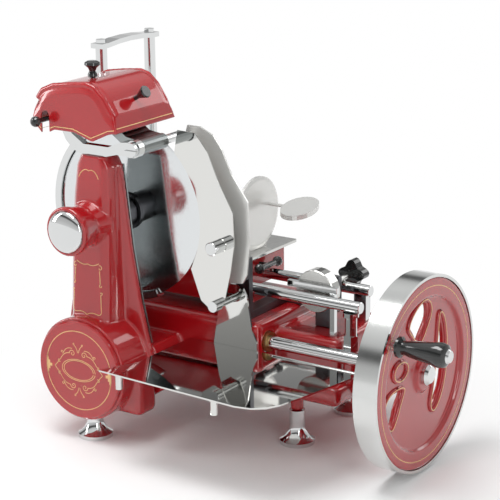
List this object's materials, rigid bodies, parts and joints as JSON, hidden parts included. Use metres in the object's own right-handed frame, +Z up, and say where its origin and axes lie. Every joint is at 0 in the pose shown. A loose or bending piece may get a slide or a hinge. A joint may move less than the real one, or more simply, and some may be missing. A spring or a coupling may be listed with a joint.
{
  "type": "hand crank meat slicer",
  "caption": "Red hand crank meat slicer with a flywheel, round blade, sliding meat carriage, thickness dial and tip-up blade sharpener on chrome bell feet.",
  "frame": {"origin": "bottom centre of the bounding box, on the floor", "axes": "+Z up, +X along the flywheel shaft towards the flywheel, -Y towards the gear cover"},
  "size_m": [0.7702, 0.462, 0.589],
  "materials": {
    "red_enamel": "gloss red enamel",
    "chrome_plate": "polished chrome plate",
    "mirror_steel": "mirror polished stainless steel",
    "dark_steel": "dark oiled steel",
    "ground_steel": "ground steel",
    "black_plastic": "gloss black",
    "bronze": "machined bronze",
    "grinding_stone": "grey abrasive stone",
    "polished_aluminium": "satin polished"
  },
  "bodies": {
    "machine": {"column": "red_enamel", "gear_cover": "red_enamel", "spindle_cap": "chrome_plate", "column_back_plate": "ground_steel", "base_casting": "red_enamel", "foot_front": "chrome_plate", "foot_right_front": "chrome_plate", "foot_right_back": "chrome_plate", "foot_left_back": "chrome_plate", "spindle_housing": "dark_steel", "blade_bearing": "bronze", "drive_chain": "dark_steel", "guard_ring": "chrome_plate", "shaft_bush": "bronze", "front_rod": "chrome_plate", "rear_rod": "chrome_plate", "rod_post": "chrome_plate", "left_rod_bridge": "chrome_plate", "rear_rod_stand": "chrome_plate", "scale_bar": "chrome_plate", "dial_stand": "dark_steel", "deflector": "mirror_steel", "lower_plate": "mirror_steel", "deflector_knob": "chrome_plate", "deflector_stud": "chrome_plate", "tray": "mirror_steel", "sharpener_yoke": "chrome_plate", "yoke_pin": "chrome_plate"},
    "flywheel": {"main_shaft": "chrome_plate", "drive_gear": "ground_steel", "flywheel_rim": "chrome_plate", "flywheel_web": "red_enamel", "crank_pin": "chrome_plate"},
    "grip": {"crank_grip": "black_plastic"},
    "lay_shaft_set": {"lay_shaft": "ground_steel", "lower_sprocket": "ground_steel"},
    "blade_set": {"blade": "mirror_steel", "blade_hub": "dark_steel", "blade_shaft": "ground_steel", "upper_sprocket": "ground_steel"},
    "carriage_set": {"carriage": "red_enamel"},
    "screw": {"feed_screw": "ground_steel"},
    "lever": {"feed_lever": "black_plastic"},
    "table_set": {"meat_table": "polished_aluminium", "fence_post_front": "chrome_plate", "fence_post_back": "chrome_plate", "fence_bar": "chrome_plate"},
    "press": {"meat_press": "chrome_plate"},
    "holder": {"meat_holder": "mirror_steel"},
    "dial": {"dial_drum": "polished_aluminium", "dial_knob": "black_plastic"},
    "gauge": {"gauge_plate": "mirror_steel", "gauge_arm": "dark_steel"},
    "sharpener": {"sharpener_carrier": "ground_steel", "sharpener_hood": "red_enamel"},
    "front_stone": {"grinding_stone": "grinding_stone"},
    "back_stone": {"honing_stone": "grinding_stone"},
    "top_knob": {"hood_knob": "black_plastic"},
    "side_knob": {"hood_side_knob": "black_plastic"},
    "stone_lever": {"sharpening_lever": "black_plastic"}
  },
  "joints": [
    {"name": "flywheel_spin", "type": "hinge", "parent": "machine", "child": "flywheel", "pos_m": [0.29285, 0.014, 0.156], "axis": [1, 0, 0], "continuous": true},
    {"name": "grip_spin", "type": "hinge", "parent": "flywheel", "child": "grip", "pos_m": [0.29285, -0.08834, 0.23036], "axis": [1, 0, 0], "continuous": true},
    {"name": "lay_shaft_spin", "type": "hinge", "parent": "machine", "child": "lay_shaft_set", "pos_m": [-0.21915, 0.014, 0.119], "axis": [0, 1, 0], "continuous": true},
    {"name": "blade_spin", "type": "hinge", "parent": "machine", "child": "blade_set", "pos_m": [-0.21915, -0.035, 0.346], "axis": [0, 1, 0], "continuous": true},
    {"name": "carriage_slide", "type": "slide", "parent": "machine", "child": "carriage_set", "axis": [1, 0, 0], "range_m": [-0.1, 0.1]},
    {"name": "feed_screw_turn", "type": "hinge", "parent": "carriage_set", "child": "screw", "pos_m": [-0.15915, 0.1255, 0.248], "axis": [0, 1, 0], "range_deg": [-720, 2700]},
    {"name": "feed_lever_swing", "type": "hinge", "parent": "carriage_set", "child": "lever", "pos_m": [-0.05915, 0.1255, 0.241], "axis": [1, 0, 0], "range_deg": [-8, 30]},
    {"name": "table_feed", "type": "slide", "parent": "carriage_set", "child": "table_set", "axis": [0, 1, 0], "range_m": [-0.012, 0.045]},
    {"name": "press_slide", "type": "slide", "parent": "table_set", "child": "press", "axis": [0, 0, 1], "range_m": [-0.05, 0.2]},
    {"name": "holder_slide", "type": "slide", "parent": "table_set", "child": "holder", "axis": [1, 0, 0], "range_m": [-0.15, 0]},
    {"name": "dial_turn", "type": "hinge", "parent": "machine", "child": "dial", "pos_m": [0.07185, 0.056, 0.236], "axis": [0, 1, 0], "range_deg": [0, 330]},
    {"name": "gauge_slide", "type": "slide", "parent": "machine", "child": "gauge", "axis": [0, 1, 0], "range_m": [-0.016, 0]},
    {"name": "sharpener_tilt", "type": "hinge", "parent": "machine", "child": "sharpener", "pos_m": [-0.13915, -0.113, 0.47], "axis": [0, 1, 0], "range_deg": [0, 60]},
    {"name": "front_stone_spin", "type": "hinge", "parent": "sharpener", "child": "front_stone", "pos_m": [-0.21915, -0.0385, 0.508], "axis": [0, 1, 0], "continuous": true},
    {"name": "back_stone_spin", "type": "hinge", "parent": "sharpener", "child": "back_stone", "pos_m": [-0.21915, -0.0285, 0.508], "axis": [0, 1, 0], "continuous": true},
    {"name": "top_knob_turn", "type": "hinge", "parent": "sharpener", "child": "top_knob", "pos_m": [-0.24515, -0.078, 0.5658], "axis": [0, 0, 1], "continuous": true},
    {"name": "side_knob_turn", "type": "hinge", "parent": "sharpener", "child": "side_knob", "pos_m": [-0.17615, -0.033, 0.535], "axis": [0.8575, 0, 0.5145], "continuous": true},
    {"name": "stone_lever_swing", "type": "hinge", "parent": "sharpener", "child": "stone_lever", "pos_m": [-0.29715, -0.0985, 0.5301], "axis": [1, 0, 0], "range_deg": [-6, 6]}
  ],
  "couplings": [
    {"joint": "lay_shaft_spin", "follows": "flywheel_spin", "ratio": 1.5},
    {"joint": "blade_spin", "follows": "flywheel_spin", "ratio": 3},
    {"joint": "feed_screw_turn", "follows": "table_feed", "rad_per_m": 1047},
    {"joint": "dial_turn", "follows": "gauge_slide", "rad_per_m": -359.9}
  ]
}
